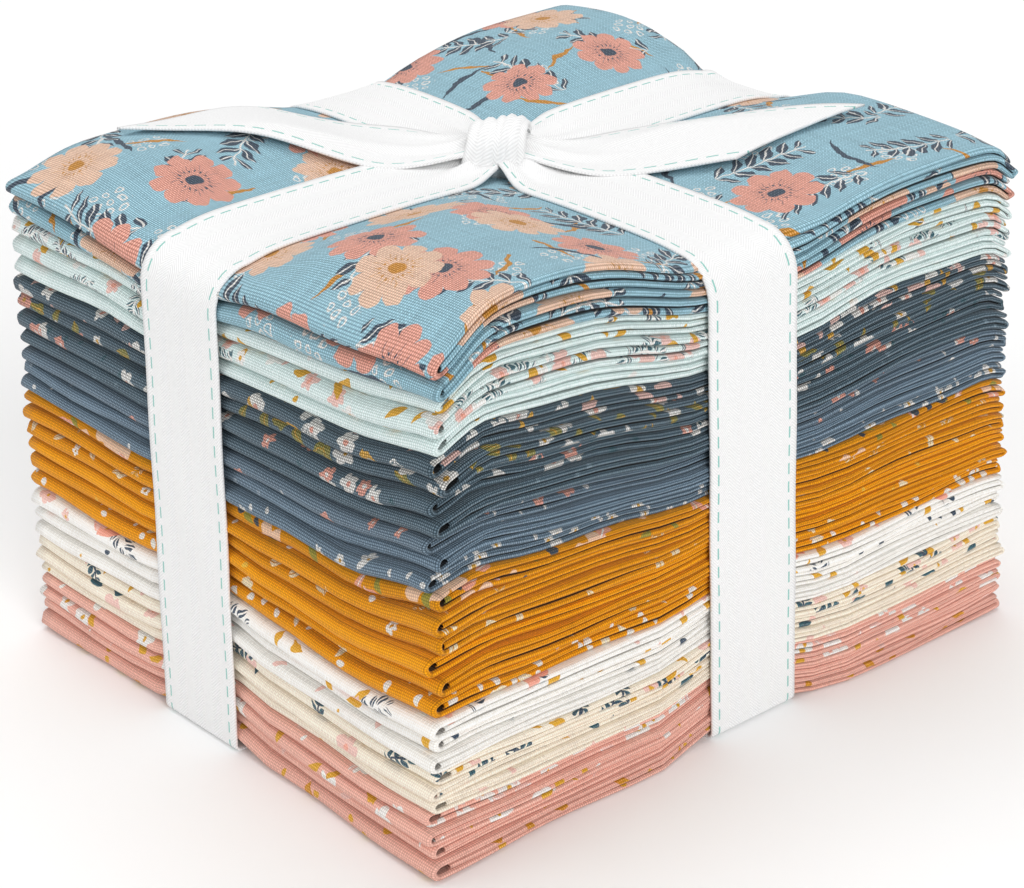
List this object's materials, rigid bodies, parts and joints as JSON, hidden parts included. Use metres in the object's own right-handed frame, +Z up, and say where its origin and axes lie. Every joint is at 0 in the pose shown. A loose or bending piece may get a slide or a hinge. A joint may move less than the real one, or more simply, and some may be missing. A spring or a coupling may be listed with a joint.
{
  "type": "fat quarter bundle",
  "caption": "Stack of folded printed cotton quarters in graded colours, tied parcel-wise over the top with a flat white twill ribbon, its two ends cut aslant.",
  "frame": {"origin": "on the ground under the middle of the bundle's bounding box", "axes": "+X across the bundle's width towards the leaf-edge side, +Y along its depth away from the folded front, +Z up"},
  "size_m": [0.1546, 0.1872, 0.1352],
  "materials": {
    "cotton_01": "dusty rose printed quilting cotton, matt plain weave",
    "cotton_02": "dusty rose printed quilting cotton, matt plain weave",
    "cotton_03": "dusty rose printed quilting cotton, matt plain weave",
    "cotton_04": "dusty rose printed quilting cotton, matt plain weave",
    "cotton_05": "beige printed quilting cotton, matt plain weave",
    "cotton_06": "beige printed quilting cotton, matt plain weave",
    "cotton_07": "beige printed quilting cotton, matt plain weave",
    "cotton_08": "cream printed quilting cotton, matt plain weave",
    "cotton_09": "cream printed quilting cotton, matt plain weave",
    "cotton_10": "cream printed quilting cotton, matt plain weave",
    "cotton_11": "mustard printed quilting cotton, matt plain weave",
    "cotton_12": "mustard printed quilting cotton, matt plain weave",
    "cotton_13": "mustard printed quilting cotton, matt plain weave",
    "cotton_14": "gold printed quilting cotton, matt plain weave",
    "cotton_15": "mustard printed quilting cotton, matt plain weave",
    "cotton_16": "rust orange printed quilting cotton, matt plain weave",
    "cotton_17": "slate blue printed quilting cotton, matt plain weave",
    "cotton_18": "slate blue printed quilting cotton, matt plain weave",
    "cotton_19": "slate blue printed quilting cotton, matt plain weave",
    "cotton_20": "faded navy printed quilting cotton, matt plain weave",
    "cotton_21": "faded navy printed quilting cotton, matt plain weave",
    "cotton_22": "faded navy printed quilting cotton, matt plain weave",
    "cotton_23": "faded navy printed quilting cotton, matt plain weave",
    "cotton_24": "pale mint printed quilting cotton, matt plain weave",
    "cotton_25": "pale mint printed quilting cotton, matt plain weave",
    "cotton_26": "pale mint printed quilting cotton, matt plain weave",
    "cotton_27": "dusty blue printed quilting cotton, matt plain weave",
    "cotton_28": "dusty blue printed quilting cotton, matt plain weave",
    "twill_ribbon": "white herringbone cotton twill tape with a line of running stitch inside each edge"
  },
  "bodies": {
    "root": {"quarter_01": "cotton_01", "quarter_02": "cotton_02", "quarter_03": "cotton_03", "quarter_04": "cotton_04", "quarter_05": "cotton_05", "quarter_06": "cotton_06", "quarter_07": "cotton_07", "quarter_08": "cotton_08", "quarter_09": "cotton_09", "quarter_10": "cotton_10", "quarter_11": "cotton_11", "quarter_12": "cotton_12", "quarter_13": "cotton_13", "quarter_14": "cotton_14", "quarter_15": "cotton_15", "quarter_16": "cotton_16", "quarter_17": "cotton_17", "quarter_18": "cotton_18", "quarter_19": "cotton_19", "quarter_20": "cotton_20", "quarter_21": "cotton_21", "quarter_22": "cotton_22", "quarter_23": "cotton_23", "quarter_24": "cotton_24", "quarter_25": "cotton_25", "quarter_26": "cotton_26", "quarter_27": "cotton_27", "quarter_28": "cotton_28", "ribbon_band_long": "twill_ribbon", "ribbon_band_cross": "twill_ribbon", "ribbon_knot": "twill_ribbon", "ribbon_tail_left": "twill_ribbon", "ribbon_tail_right": "twill_ribbon"}
  },
  "joints": []
}
